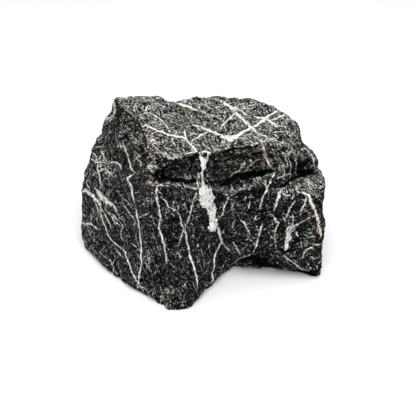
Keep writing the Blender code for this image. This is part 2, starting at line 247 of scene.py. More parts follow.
WING_VEINS = (
    (1.6, 0.9, ((275, 172), (271, 179), (268.8, 185), (266.3, 191.4), (262.4, 197.8), (260.5, 206),
                (259.2, 209))),
    (1.2, 0.7, ((257.3, 215), (254, 219.4))),
    (1.5, 0.85, ((262.4, 223.3), (260.5, 228.4), (259.4, 234), (258.4, 240), (256, 246), (253.5, 252, 1.1))),
    (1.1, 0.5, ((253, 252.5), (247.8, 256), (240.5, 257.8), (236, 261), (231, 265.5))),
    (3.2, 0.9, ((282, 189, 3.6), (279.6, 193.3), (277.7, 199), (276.5, 204.8), (274, 210, 1.4))),
    (2.0, 0.8, ((273.3, 215.6), (275.8, 220.7), (279, 223.3), (276.5, 227.7), (274.5, 232.2))),
    (1.7, 0.85, ((282.8, 193.3), (285.4, 195.8), (290, 195.2))),
    (1.3, 0.7, ((293, 194.6), (292.4, 201.6))),
    (1.5, 0.75, ((295.6, 200.3), (291, 206.7), (288, 213), (284.7, 219.4))),
    (3.2, 0.95, ((298.5, 192, 1.2), (304, 193, 1.4), (308.3, 195, 2.4), (310.5, 200, 3.8),
                (311.6, 204, 3.2), (314.7, 209.5), (317, 216.3), (318.3, 222.6), (319.8, 229, 3),
                (321, 237.3, 2))),
    (1.9, 0.85, ((307, 197), (304, 204.8), (301.3, 210.5), (300, 215))),
    (1.5, 0.8, ((288, 222), (290, 225), (291.8, 227.7))),
    (1.5, 0.7, ((292.4, 213.7), (293.4, 218), (292.6, 223), (291.8, 227.7))),
    (1.4, 0.8, ((291.8, 227.7), (298.8, 223.3), (305.2, 220), (310.3, 217.5, 1))),
    (5.0, 0.85, ((291.8, 224.5, 11), (291.2, 227.5, 8), (290.2, 231, 5.6), (289.2, 234), (287.4, 239),
                (286.8, 243.7, 4.4), (286, 247.5, 4.4), (285.4, 250.5, 5))),
    (1.5, 0.8, ((292.5, 228), (295.6, 231), (298, 237.3))),
    (1.6, 0.8, ((302.6, 258.3), (303.2, 254), (305.8, 250), (311, 247.5), (314, 250))),
    (1.5, 0.75, ((227.3, 200.3), (223.8, 207.3), (222.7, 213.7), (220.2, 216.5))),
    (1.6, 0.75, ((250.3, 201), (248.4, 208.6), (246.5, 211))),
    (1.2, 0.6, ((234, 200.3), (231, 208), (233.2, 212.3))),
    (2.0, 0.8, ((240.5, 221), (243.3, 221.5, 2.6), (246, 227), (249.7, 234, 1.2))),
    (1.3, 0.6, ((276.5, 254.5), (279, 257.7))),
    (1.5, 0.7, ((284, 255.2), (288.6, 259))),
    (1.6, 0.6, ((294.3, 263.4), (297.5, 266), (301.3, 268.5), (311.5, 268.5))),
    (1.3, 0.7, ((301, 149.6), (304.5, 148.8), (308.5, 151), (311.5, 155), (314, 162.5))),
    (0.9, 0.25, ((231, 205), (236, 212), (241, 220))),
    (1.0, 0.3, ((275.5, 233), (274.5, 238), (275.8, 244), (276, 250))),
    (1.2, 0.6, ((309, 243), (315, 244.5), (321, 244))),
    (1.1, 0.5, ((304, 234), (309, 237.5), (313, 236), (317, 238))),
    (1.1, 0.5, ((309, 256), (314, 258.5), (319, 257))),
    (1.5, 0.8, ((284, 255.5), (287, 259), (291.5, 261), (296, 265), (302, 269), (310, 271))),
    (1.2, 0.5, ((311, 160), (314, 163))),
)
PHOTO_VEINS = TOP_VEINS + CENTRAL_VEIN + FRONT_VEINS + WING_VEINS

# Rust and tan stains: the middle and the radius in pixels, and the strength
STAINS = (
    (115, 104, 5, 1), (113, 115, 4, 1), (104, 126, 3, 1.1), (152, 140, 7, 0.45), (155, 183, 4, 1.3),
    (149, 180.5, 3.5, 1.1), (240, 164, 9, 0.5), (265, 159, 8, 0.7), (262, 148, 5, 0.6),
    (287, 144, 5, 0.5), (270, 166, 4, 0.8), (234, 180, 6, 0.4), (243, 215, 3, 0.7), (275, 236, 3, 0.6),
    (306.5, 243.5, 2.2, 1.3), (312, 258, 4, 0.5), (268, 246, 6, 0.3), (316, 214, 4, 1.2),
    (312, 204, 3, 0.8), (318.5, 227, 5, 1.1), (320, 236, 3, 0.8), (135, 118, 8, 0.35),
)

# Darker patches, given in the same way: partly darker rock, partly painted shade under the ledges, under the
# knob and along the wing's underside
DARKS_AND_PAINTED_SHADE = (
    (121, 118, 9, 0.8), (127, 131, 9, 0.65), (136, 144, 8, 0.5), (116, 130, 8, 0.3), (124, 160, 7, 0.4),
    (230, 152, 7, 0.2), (244, 150, 5, 0.3), (256, 187, 9, 0.7), (268, 186, 6, 0.8), (278, 197, 6, 0.5),
    (222, 113, 10, 0.3), (240, 122, 7, 0.2), (272, 159, 6, 0.4), (304.5, 159, 5.5, 1.2),
    (304, 168, 7, 1.7), (160, 172, 7, 0.2), (213, 174, 6, 0.2), (166, 185, 7, 0.4), (291, 161, 5, 0.9),
    (164, 200, 8, 0.3), (207, 114, 7, 0.2), (222, 196, 8, 0.2), (228, 215, 9, 0.1), (256, 262, 7, 0.8),
    (290, 205, 6, 0.4), (118, 192, 8, 0.4), (170, 235, 12, 0.3), (150, 275, 12, 0.3), (290, 270, 6, 1.2),
    (314, 271, 5, 1), (316, 180, 5, 0.3), (262, 222, 8, 0.2),
)

# Paler patches, given in the same way: partly paler rock, partly painted light on lit faces such as the
# shelf and the top
PALES_AND_PAINTED_LIGHT = (
    (310, 184, 8, 0.9), (300, 186, 7, 0.4), (317, 178, 6, 0.6), (152, 145, 7, 0.5), (261, 148, 8, 1),
    (243, 163, 6, 0.5), (262, 158, 7, 0.6), (142, 108, 16, 0.2), (305, 243, 4, 0.9), (274, 236, 4, 0.6),
    (286, 258, 7, 0.1), (312, 230, 6, 0.4), (147, 160, 7, 0.6), (98, 212, 10, 0.7), (88, 228, 8, 0.6),
    (230, 246, 7, 0.7), (224, 160, 8, 0.9), (152, 171, 8, 0.5), (146, 149, 6, 0.6), (122, 137, 6, 0.4),
)

# Low swellings and hollows, given in the same way, with the height in millimetres as the strength
SWELLS = (
    (131, 100.5, 9, 3), (116, 103, 5, 2), (104, 129, 4, 1.6), (86, 243, 7, -2.8), (80.8, 234, 6, -1.2),
    (272, 110, 5, 1.8), (318, 168, 5, 1.8), (292, 118, 5, -2), (96, 255, 4, -1.2), (121, 275, 5, -1.6),
    (144, 291, 5, -2), (211, 279, 5, 1.8), (84.5, 172, 4, -1), (283, 109.5, 4, 0.8),
)

# Edges where a lit face turns into one in shade, with that shade painted into the colour: how far the
# painted shade reaches in pixels, its strength, then points in pixels. The painted shade lies on the left of
# the line as it runs.
SHADED_EDGES = (
    (12.0, 1.0, ((147, 165), (147.5, 152), (147, 141), (143, 129), (137, 120), (131, 112), (124, 105),
                (116, 99))),
    (5.0, 0.7, ((262, 143.5), (250, 145.5), (238, 147), (226, 149.5), (214, 153), (205, 154.5))),
    (6.0, 0.8, ((197, 153.5), (186, 156.5), (176, 159), (168, 160), (158, 161))),
    (9.0, 3.0, ((324, 275.5), (315, 273), (308.7, 271), (299, 269.5), (290, 270.5), (284, 268),
                (277.5, 264.5), (268.5, 263), (266.5, 258), (256, 256), (246, 256.5), (240, 260))),
)
SHADE_SEED = 400
SHADE_START = 0.8  # the width of its soft start, in millimetres
SHADE_END = 1.15  # how many of its reaches away it has faded out

# Cracks and creases seen from the front, cut into the surface and darkened with painted shade: width in
# pixels, depth in millimetres, then points in pixels
GROOVES = (
    (1.6, 0.7, ((233, 211), (238, 210.5), (243, 211.8), (250, 211), (256, 212), (263, 210.8), (270, 210),
                (275, 208.5))),
    (1.4, 0.6, ((238, 236), (243, 238.3), (249, 238), (255, 239.6), (262, 238.5), (268, 239.5))),
    (2.6, 1.0, ((282, 250), (286, 251.5), (290, 250.2), (295, 251))),
    (1.3, 0.5, ((240, 203), (246, 200), (252, 199.5), (258, 197), (264, 196.4), (270, 194))),
    (1.3, 0.6, ((283, 151), (288, 155), (291, 160), (296, 165), (299, 170))),
    (3.6, 1.6, ((297, 171.5), (302, 173), (308, 172.8), (314, 170.5))),
    (1.4, 0.7, ((208, 156), (213, 160), (222, 161), (232, 158), (241, 156))),
    (6.0, 1.6, ((154, 175), (158, 175.5), (163, 176), (167, 178))),
    (3.4, 1.8, ((167, 179), (174, 180.5), (182, 180.3), (190, 181.5), (196, 181))),
    (4.6, 1.8, ((222, 185), (226, 183), (231, 180.5), (238, 177.5), (246, 175), (254, 174.3), (262, 173),
                (272, 171.5))),
    (2.0, 1.2, ((277, 187), (284, 186), (290, 180), (296, 177), (303, 176))),
    (2.6, 1.4, ((224, 152.5), (229, 150.5), (234, 149), (239, 148.3))),
    (2.8, 1.4, ((242, 148.5), (247, 147.7), (252, 147.6), (257, 145.8))),
    (2.6, 1.2, ((252, 154.2), (257, 154), (262, 152.2))),
    (1.8, 1.0, ((270, 155), (272, 158), (274, 162))),
    (1.6, 0.8, ((236, 153), (241, 156), (247, 157), (252, 159))),
)
GROOVE_SEED = 300
GROOVE_END = 1.4  # how many half widths away it runs out
GROOVE_LEAST = 0.5  # the least half width in millimetres

# How a vein is laid on the surface: steps and wander in pixels, the rest in millimetres
TRACE_STEP = 1.2
TRACE_LEAST = 3
TRACE_WANDER = 0.352
TRACE_WAVES = ((2.2, 7.7, 0), (5.0, 3.3, 9))  # a wave's length, its shift from vein to vein and its layer
TRACE_JUMP = 7.0
FIELD_MARGIN = 1.0
VEIN_REACH = 2.4
VEIN_SHOULDER = 0.8
VEIN_FALL = 1.5
VEIN_END_FALL = 1.3
VEIN_TAPER = 6.0
VEIN_TIP = 0.35
LEAST_FORESHORTENING = 0.55
NO_VEIN = (4.0, -4.0, 0.0)  # far off, no width and no brightness
NO_LENGTH = 1e-9
WIDEN = 0.90
BROAD_WIDEN = 1.14
WIDEN_FROM = 2.5
WIDEN_OVER = 3.0
BROAD_VEIN = 1.6  # the half width from which a vein shows its fibres
BROADEST = 2.6

# Below, a noise is its scale, detail, roughness and distortion. A ramp is the two values that it runs
# between, then the two that it gives there, where they aren't zero and one. A pattern with edges is a
# noise and a ramp, and one that pushes to and fro is a noise and a reach in millimetres.

# The veins' edges, beads and fibres
WOBBLE = ((0.60, 3, 0.8), 1.5)
RAGGED = ((0.62, 3, 0.75), 3.6)
SWELLING = ((0.28, 3, 0.7), (0.32, 0.68, 0.35, 1.25))
BROAD_BITES = 9.0
VEIN_EDGE = 9.0
VEIN_TONE_POWER = 0.7
BEADS = ((0.55, 3, 0.75), (0.40, 0.50, 0.40, 1.0))
FIBRE_ACROSS = 0.75
FIBRE_ALONG = 0.34
FIBRES = (0.9, 3, 0.72, 0.4)
FIBRE_RAMP = (0.38, 0.54, 0.55, 1.0)
STRAND_SHARE = 0.60
STRAND_EDGE = 12.0
STRAND_RAMP = (0.36, 0.46, 0.55, 1.0)

# Calcite sheets through the whole stone, which show on its unseen sides, in millimetres
SHEET_COUNT = 19
SHEET_SEED = 11
SHEET_STEEPNESS = 0.6
SHEET_SPREAD = 62.0
SHEET_HALVES = (0.42, 0.98)
SHEET_WARP = ((0.035, 3, 0.6), 13.0)
SHEET_RAGGED = ((0.8, 2, 0.7), 1.5)
SHEET_PATCHES = ((0.026, 3, 0.6), (0.035, 3, 0.6), (0.044, 3, 0.6))
SHEET_STARTS = (0.36, 0.39, 0.42, 0.45)
SHEET_RAMP = (0.50, -0.5, 1.0)  # after its start
SHEET_EDGE = 4.0

# Families of parallel hairlines: the direction across them, how far apart they are, their half width, and
# the noise of the patches where they show
HAIRLINES = (
    (Vector((0.86, 0.12, 0.50)).normalized(), 6.2, 0.30, (0.09, 2, 0.6)),
    (Vector((0.93, -0.30, 0.20)).normalized(), 13.0, 0.34, (0.11, 2, 0.6)),
    (Vector((-0.55, 0.62, 0.56)).normalized(), 11.0, 0.30, (0.13, 2, 0.6)),
)
HAIRLINE_RAMP = (0.45, 0.54, -0.5, 1.0)
HAIRLINE_DRIFT = 2.5
HAIRLINE_EDGE = 3.0
HAIRLINE_GAPS = (0.40, 0.50)

# The rock's patterns: the slow bends of its beds, how much the grain is combed, and the flecks
WARP = ((0.045, 1, 0.5), 15.0)
BEDDED_TIMES = 3.2
CLEAVED_TIMES = 1.8
COMBED_TIMES = 3.0
PATCHES = (0.055, 3, 0.6)
CLOUDS = (0.17, 2, 0.6, 0.5)
EVEN_GRAIN = (0.55, 2, 0.85, 0.3)
STREAKED_GRAIN = (0.38, 2, 0.80, 0.3)
COMBED_GRAIN = (0.38, 2, 0.65, 0.3)
TINY_GRAIN = (1.3, 1, 0.5)
EVEN_CELLS = 0.72
STREAKED_CELLS = 0.45
STREAK_CLOUDS = 1.2
STREAK_RAMP = (0.75, 1.15)

# Threads, short pale lines of calcite in two sizes
LONG_THREAD = ((0.15, 3, 0.7, 0.3), (0.004, 0.016, 1.0, 0.0))
LONG_THREAD_GAPS = (0.46, 0.54)
SHORT_THREAD = ((0.18, 2, 0.65, 0.3), (0.010, 0.035, 1.0, 0.0))
SHORT_THREAD_GAPS = (0.46, 0.56)
SHORT_THREAD_SHARE = 0.8

# The rock's lightness: a middle value, and how far each pattern moves it, in powers of e
ROCK_VALUE = 0.0048
LEAST_VALUE = 0.002
MOST_VALUE = 0.78
GRAIN_STOPS = 13.0
CELL_STOPS = 4.5
TINY_STOPS = 14.0
CLOUD_STOPS = 2.6
PATCH_STOPS = 2.6
THREAD_STOPS = 2.2
HAIRLINE_STOPS = 3.0
# the rise darkens pits as painted shade and lightens standing edges as wear
RISE_WEAR_AND_PAINTED_SHADE_STOPS = 2.2
MOST_RISE = 0.5
# faces that turn upwards get painted light
UPWARD_PAINTED_LIGHT_STOPS = 1.25
# faces that turn left are lighter: partly denser calcite flecks, partly painted light
LEFTWARD_FLECKS_AND_PAINTED_LIGHT_STOPS = 0.35
STEEP_BRIGHTS = 0.72
STEEP_DARKS = 0.78
# The grooves, the dark patches and the shaded edges darken the rock as painted shade
GROOVE_PAINTED_SHADE_STOPS = -4.0
DARK_AND_PAINTED_SHADE_STOPS = -2.2

# The colours' balance, as shares of red, green and blue
ROCK_TINT = (1.0, 0.975, 0.91)
CALCITE_TINT = (1.0, 0.99, 0.96)
RUST_TINT = (1.0, 0.83, 0.60)
RUSTY_CALCITE_TINT = (0.96, 0.88, 0.74)

# Calcite's and rust's lightness, and where the grooves' painted shade, and the dark patches of darker rock
# and painted shade, hide the calcite
CALCITE = ((0.7, 3, 0.7), (0.3, 0.55, 0.86, 0.98))
STAINED = ((0.5, 3, 0.7), (0.42, 0.52))
RUST_TIMES = 3.2
RUST_LEAST = 0.01
RUST_MOST = 0.70
GROOVE_PAINTED_SHADE_HIDES = 0.6
DARK_AND_PAINTED_SHADE_HIDES = (1.1, 1.9, 1.0, 0.2)

# The surface's finish
ROCK_ROUGHNESS = 0.78
CALCITE_ROUGHNESS = 0.55
SPECULAR = 0.01
BUMP_GRAIN = 2.4
BUMP_TINY = 0.5
BUMP_STRENGTH = 0.8
BUMP_HEIGHT = 0.0009  # in metres


def pixel_ray(x, y):
    """The direction from the camera through a pixel of the photograph's frame."""
    across = (x - IMAGE_SIDE / 2) * PIXEL
    up = (IMAGE_SIDE / 2 - y) * PIXEL
    return (Vector((across, 0, 0)) + CAMERA_UP * up - CAMERA_BACK).normalized()


# ----- materials' nodes

def add_node(tree, kind, inputs, **settings):
    """A new node, with a value or a link for each of the inputs."""
    made = tree.nodes.new("ShaderNode" + kind)
    for name, value in settings.items():
        setattr(made, name, value)
    for name, value in inputs.items():
        if isinstance(value, bpy.types.NodeSocket):
            tree.links.new(value, made.inputs[name])
        else:
            made.inputs[name].default_value = value
    return made


class Shading:
    """A material's node tree with short calls for its nodes."""

    def __init__(self, name):
        self.material = bpy.data.materials.new(name)
        self.material.use_nodes = True
        self.tree = self.material.node_tree
        self.shader = self.tree.nodes["Principled BSDF"]

    def node(self, kind, inputs, **settings):
        return add_node(self.tree, kind, inputs, **settings)

    def value(self, name):
        """A value that is kept at every vertex."""
        return self.node("Attribute", {}, attribute_name=name).outputs["Fac"]

    def vector(self, name):
        """The three numbers of a vector that is kept at every vertex."""
        kept = self.node("Attribute", {}, attribute_name=name).outputs["Vector"]
        return self.node("SeparateXYZ", {0: kept}).outputs[:]

    def math(self, operation, *values, clamp=False):
        made = self.node("Math", dict(enumerate(values)), operation=operation, use_clamp=clamp)
        return made.outputs[0]

    def times(self, *values, clamp=False):
        return self.math("MULTIPLY", *values, clamp=clamp)

    def centred(self, value):
        """How far a pattern is over its middle."""
        return self.math("SUBTRACT", value, 0.5)

    def summed(self, total, *terms):
        """The total with each term's value added, times its factor."""
        for value, factor in terms:
            total = self.math("MULTIPLY_ADD", value, factor, total)
        return total

    def edge(self, value, sharpness):
        """A mask with a soft edge where the value passes zero."""
        return self.math("MULTIPLY_ADD", value, sharpness, 0.5, clamp=True)

    def greatest(self, masks):
        """The greatest of some masks at every point."""
        total = masks[0]
        for mask in masks[1:]:
            total = self.math("MAXIMUM", total, mask)
        return total

    def noise(self, where, scale, detail=2.0, roughness=0.5, distortion=0.0):
        made = self.node("TexNoise", {"Vector": where, "Scale": scale, "Detail": detail,
                                      "Roughness": roughness, "Distortion": distortion})
        return made.outputs["Fac"]

    def ramped(self, where, noise_values, ramp):
        """Blotches whose edges are as steep as the ramp."""
        return self.between(self.noise(where, *noise_values), *ramp)

    def swaying(self, where, noise_values, reach):
        """A push to and fro, by up to about half the reach."""
        return self.times(self.centred(self.noise(where, *noise_values)), reach)

    def cells(self, where, scale):
        """A value of its own, from zero to one, in every small angular cell."""
        made = self.node("TexVoronoi", {"Vector": where, "Scale": scale})
        return self.node("SeparateColor", {0: made.outputs["Color"]}).outputs[0]

    def between(self, value, low, high, to_low=0.0, to_high=1.0):
        made = self.node("MapRange", {"Value": value, "From Min": low, "From Max": high,
                                      "To Min": to_low, "To Max": to_high})
        return made.outputs["Result"]

    def mix(self, factor, a, b, kind="FLOAT"):
        made = self.node("Mix", {"Factor": factor, "A": a, "B": b}, data_type=kind)
        return made.outputs["Result"]

    def tinted(self, value, tint):
        """A colour of one lightness with a tint."""
        return self.node("CombineColor", {at: self.times(value, share)
                                          for at, share in enumerate(tint)}).outputs[0]

    def flat(self, where, direction):
        """How far a point lies along a direction."""
        return self.node("VectorMath", {0: where, 1: direction}, operation="DOT_PRODUCT").outputs["Value"]

    def vectors(self, operation, a, b):
        """A sum or a difference of two vectors."""
        return self.node("VectorMath", {0: a, 1: b}, operation=operation).outputs[0]

    def scaled(self, vector, times):
        return self.node("VectorMath", {0: vector, "Scale": times}, operation="SCALE").outputs[0]

    def squeezed(self, where, direction, times):
        """Coordinates that run faster across the planes that face a direction."""
        lift = self.scaled(direction * (times - 1), self.flat(where, direction))
        return self.vectors("ADD", where, lift)

    def warped(self, where, noise_values, reach):
        """Coordinates that a slow noise pushes to and fro."""
        inputs = dict(zip(("Scale", "Detail", "Roughness"), noise_values))
        push = self.node("TexNoise", {"Vector": where, **inputs}).outputs["Color"]
        push = self.vectors("SUBTRACT", push, (0.5, 0.5, 0.5))
        return self.vectors("ADD", where, self.scaled(push, reach))


# ----- the studio

def aimed(name, data, place, back):
    """A camera or a lamp at a place in metres; back is the direction behind it."""
    made = bpy.data.objects.new(name, data)
    made.location = place
    made.rotation_mode = "QUATERNION"
    made.rotation_quaternion = (-back).to_track_quat("-Z", "Y")
    bpy.context.collection.objects.link(made)
    return made


def make_camera():
    """A camera at the photograph's angle."""
    data = bpy.data.cameras.new("camera")
    data.lens = LENS
    data.sensor_width = SENSOR
    bpy.context.scene.camera = aimed("camera", data, EYE * MM, CAMERA_BACK)


def make_floor():
    """A round floor that curves up into a low wall, so that it has no edge from any side."""
    turns = [math.pi / 2 * step / COVE_STEPS for step in range(COVE_STEPS + 1)]
    cove = [(FLOOR_RADIUS + COVE_RADIUS * math.sin(t), COVE_RADIUS * (1 - math.cos(t))) for t in turns]
    profile = [(0, 0), *cove, (FLOOR_RADIUS + COVE_RADIUS, WALL_HEIGHT)]
    bm = bmesh.new()
    points = [bm.verts.new((x, 0, z)) for x, z in profile]
    edges = [bm.edges.new(pair) for pair in zip(points, points[1:])]
    bmesh.ops.spin(bm, geom=points + edges, cent=(0, 0, 0), axis=(0, 0, 1), angle=2 * math.pi,
                   steps=FLOOR_SIDES, use_merge=True)
    bmesh.ops.remove_doubles(bm, verts=bm.verts, dist=MERGE_DISTANCE)
    bmesh.ops.recalc_face_normals(bm, faces=bm.faces)
    mesh = bpy.data.meshes.new("floor")
    bm.to_mesh(mesh)
    bm.free()
    mesh.shade_smooth()
    floor = bpy.data.objects.new("floor", mesh)
    look = Shading("floor")
    look.shader.inputs["Base Color"].default_value = FLOOR_COLOUR
    look.shader.inputs["Roughness"].default_value = FLOOR_ROUGHNESS
    mesh.materials.append(look.material)
    floor.visible_diffuse = False
    floor.visible_glossy = False
    bpy.context.collection.objects.link(floor)


def make_key_light():
    """One soft round lamp, above and a little in front."""
    data = bpy.data.lights.new("key", "AREA")
    data.shape = "DISK"
    data.size = KEY_SIZE
    data.energy = KEY_POWER
    aimed("key", data, KEY_FROM * KEY_DISTANCE, KEY_FROM)


def make_sky():
    """A pale sky that is a little darker towards the ground."""
    world = bpy.data.worlds.new("studio")
    bpy.context.scene.world = world
    world.use_nodes = True
    tree = world.node_tree
    place = add_node(tree, "TexCoord", {}).outputs["Generated"]
    height = add_node(tree, "SeparateXYZ", {0: place}).outputs["Z"]
    share = add_node(tree, "MapRange", {"Value": height, "From Min": SKY_RISE[0], "From Max": SKY_RISE[1]})
    mix = add_node(tree, "Mix", {"Factor": share.outputs["Result"], "A": GROUND, "B": SKY}, data_type="RGBA")
    tree.links.new(mix.outputs["Result"], tree.nodes["Background"].inputs["Color"])


# ----- the surface

def neighbour_means(values, edges, counts):
    """The mean of every vertex's neighbours."""
    sums = np.empty_like(values)
    for axis in range(values.shape[1]):
        column = values[:, axis]
        there = np.bincount(edges[:, 0], weights=column[edges[:, 1]], minlength=len(values))
        back = np.bincount(edges[:, 1], weights=column[edges[:, 0]], minlength=len(values))
        sums[:, axis] = there + back
    return sums / counts[:, None]


def smooth(values, edges, steps):
    """Evens values out over the mesh by each step's share of the way to the neighbours' mean."""
    counts = np.bincount(edges.ravel(), minlength=len(values)).astype(float)
    for share in steps:
        values = values + share * (neighbour_means(values, edges, counts) - values)
    return values


def read(items, name, count, kind=float):
    """A property of every vertex or edge, as rows of so many numbers."""
    flat = np.empty(len(items) * count, kind)
    items.foreach_get(name, flat)
    return flat.reshape(-1, count)


def set_points(mesh, points):
    """Moves every vertex to its point, in millimetres."""
    mesh.vertices.foreach_set("co", (points * MM).ravel())
    mesh.update()


def fine_copy(node, name):
    """A copy of a CAD node on a fine, even grid of faces."""
    bm = bmesh.new()
    bm.from_mesh(node.data)
    bmesh.ops.remove_doubles(bm, verts=bm.verts, dist=MERGE_DISTANCE)
    mesh = bpy.data.meshes.new(name)
    bm.to_mesh(mesh)
    bm.free()
    made = bpy.data.objects.new(name, mesh)
    bpy.context.collection.objects.link(made)
    remesh = made.modifiers.new("grid", "REMESH")
    remesh.mode = "VOXEL"
    remesh.voxel_size = GRID * MM
    bpy.context.view_layer.update()
    seen = made.evaluated_get(bpy.context.evaluated_depsgraph_get())
    fine = bpy.data.meshes.new_from_object(seen)
    made.modifiers.clear()
    made.data = fine
    fine.name = name
    return made


def flake_height(point, size, tilt, step, seed):
    """Height of a surface of flat flakes, each tilted and set off by a small step."""
    where = point / size + Vector((seed, -seed, seed / 2))
    distances, centres = noise.voronoi(where)
    heights = []
    for centre in centres[:2]:
        turn = noise.cell_vector(centre * FLAKE_TILT_KEY) * 2 - Vector((1, 1, 1))
        set_off = noise.cell_vector(centre * FLAKE_STEP_KEY).x - 0.5
        heights.append((where - centre).dot(turn) * size * tilt + set_off * step)
    nearness = min(1, (distances[1] - distances[0]) / FLAKE_EDGE)
    return heights[1] + (heights[0] - heights[1]) * (0.5 + 0.5 * nearness)


def terrace_height(point):
    """Thin shells that have come off one above the other, with a low edge at each."""
    level = noise.noise(point / TERRACE_SIZE) * TERRACE_COUNT
    share = level % 1
    rise = min(1, share / TERRACE_EDGE)
    return (math.floor(level) + rise) * TERRACE_STEP - level * TERRACE_STEP


def lamina_height(point):
    """Fine ridges where thin beds end at the surface."""
    drift = sum(noise.noise(point / length) * height for length, height in LAMINA_WAVES)
    share = (point.dot(BEDDING) + drift) / LAMINA % 1
    ramp = share / LAMINA_LEAN if share < LAMINA_LEAN else (1 - share) / (1 - LAMINA_LEAN)
    return (ramp - 0.5) * LAMINA_STEP


def bedded_share(point):
    """How far the beds show: hardly in the massive left part, fully in the right wing."""
    drift = noise.noise(point / BEDDED_DRIFT_SIZE) * BEDDED_DRIFT
    return min(1, max(BEDDED_LEAST, (point.x - BEDDED_FROM + drift) / BEDDED_OVER))


def relief(point):
    """How far the fine surface stands out at a point."""
    height = terrace_height(point) + lamina_height(point) * bedded_share(point)
    for values in FLAKES:
        height += flake_height(point, *values)
    place = point / GRAIN_SIZE
    grain = noise.noise(place) + FINER_GRAIN_SHARE * noise.noise(place * FINER_GRAIN)
    return height + grain * GRAIN_HEIGHT


# ----- the veins

def resampled(points, width):
    """Points, widths and distances along a vein at even steps in the photograph's frame."""
    places = np.array([p[:2] for p in points], float)
    widths = np.array([p[2] if len(p) > 2 else width for p in points], float)
    lengths = np.linalg.norm(np.diff(places, axis=0), axis=1)
    along = np.concatenate([[0], np.cumsum(lengths)])
    count = max(TRACE_LEAST, int(along[-1] / TRACE_STEP) + 1)
    at = np.linspace(0, along[-1], count)
    xy = np.stack([np.interp(at, along, places[:, axis]) for axis in (0, 1)], axis=1)
    return xy, np.interp(at, along, widths), at


def wandering(at, seed):
    """A small sideways wander along a vein."""
    return TRACE_WANDER * np.array([sum(noise.noise(Vector((s / length, seed * shift, layer)))
                                        for length, shift, layer in TRACE_WAVES) for s in at])


def seen_at(x, y, tree):
    """The point of the surface that shows at a pixel, in millimetres, and its normal, or two Nones."""
    hit, normal, _, _ = tree.ray_cast(EYE * MM, pixel_ray(x, y))
    return (None, None) if hit is None else (hit / MM, normal)


def surface_runs(xy, widths, at, tree):
    """Where a vein meets the surface, parted where it leaps from one form of the stone to another."""
    runs = [[]]
    for (x, y), wide, s in zip(xy, widths, at):
        hit, normal = seen_at(x, y, tree)
        if hit is None:
            continue
        if runs[-1] and (hit - runs[-1][-1][0]).length > TRACE_JUMP:
            runs.append([])
        taper = min(1.0, VEIN_TIP + min(s, at[-1] - s) / VEIN_TAPER)
        runs[-1].append((hit, normal, wide * taper))
    return [run for run in runs if len(run) > 1]


def half_width(place, normal, tangent, wide):
    """The half width in millimetres that the camera sees as wide as the vein is in the photograph."""
    depth = (EYE - Vector(place)).dot(CAMERA_BACK)
    side = Vector(np.cross(normal, tangent))
    flow = Vector((tangent[0], Vector(tangent).dot(CAMERA_UP)))
    flow = flow.normalized() if flow.length > NO_LENGTH else Vector((1, 0))
    shown = abs(side.x * flow.y - side.dot(CAMERA_UP) * flow.x)
    widen = WIDEN + (BROAD_WIDEN - WIDEN) * min(1, max(0, (wide - WIDEN_FROM) / WIDEN_OVER))
    return wide / 2 * PIXEL * depth / max(shown, LEAST_FORESHORTENING) * widen


def traced(vein, seed, tree):
    """A vein's runs on the surface: points and half widths in millimetres, normals and brightness."""
    width, tone, points = vein
    xy, widths, at = resampled(points, width)
    direction = np.gradient(xy, axis=0)
    direction /= np.linalg.norm(direction, axis=1)[:, None]
    across = np.stack([-direction[:, 1], direction[:, 0]], axis=1)
    xy = xy + across * wandering(at, seed)[:, None]
    made = []
    for run in surface_runs(xy, widths, at, tree):
        places = np.array([r[0] for r in run])
        normals = np.array([r[1] for r in run])
        tangents = np.gradient(places, axis=0)
        tangents /= np.linalg.norm(tangents, axis=1)[:, None] + NO_LENGTH
        halves = [half_width(*values) for values in zip(places, normals, tangents, [r[2] for r in run])]
        made.append((places, np.array(halves), normals, tone))
    return made


def run_field(run, points):
    """The vertices near a run, and two vectors for each of them.

    The first is the distance across the run, its half width, which dwindles past its sides and ends, and
    its brightness. The second is the places across and along it, and the true half width."""
    places, halves, normals, tone = run
    margin = VEIN_REACH + halves.max() + FIELD_MARGIN
    near = np.all((points > places.min(axis=0) - margin) & (points < places.max(axis=0) + margin), axis=1)
    index = np.nonzero(near)[0]
    if not len(index):
        return index, None, None
    step = np.diff(places, axis=0)
    length = np.linalg.norm(step, axis=1)
    unit = step / length[:, None]
    offset = points[index][:, None, :] - places[:-1]
    along = np.einsum("vsk,sk->vs", offset, unit)
    inside = np.clip(along, 0, length)
    gap = np.linalg.norm(offset - inside[..., None] * unit, axis=2)
    best = gap.argmin(axis=1)
    nearest = (np.arange(len(index)), best)
    along, inside, offset = along[nearest], inside[nearest], offset[nearest]
    beyond = np.where((best == 0) & (along < 0), -along, 0)
    beyond = np.where((best == len(step) - 1) & (along > length[-1]), along - length[-1], beyond)
    distance = np.sqrt(np.maximum(gap[nearest] ** 2 - beyond ** 2, 0))
    share = inside / length[best]
    half = halves[best] * (1 - share) + halves[best + 1] * share
    side = np.einsum("vk,vk->v", np.cross(normals[best], unit[best]), offset)
    across = np.where(side < 0, -distance, distance)
    outside = np.maximum(0, distance - half - VEIN_SHOULDER)
    width = half - VEIN_FALL * outside - VEIN_END_FALL * beyond
    reached = np.concatenate([[0], np.cumsum(length)])[best] + inside
    values = np.stack([across, width, np.full(len(index), tone)], axis=1)
    fibres = np.stack([across, reached, half], axis=1)
    active = (distance < half + VEIN_REACH) & (beyond < VEIN_REACH)
    return index[active], values[active], fibres[active]


def vein_fields(vein, seed, points, tree):
    """The field of each run of a vein that comes near any vertex."""
    for run in traced(vein, seed, tree):
        index, values, fibres = run_field(run, points)
        if len(index):
            yield index, values, fibres


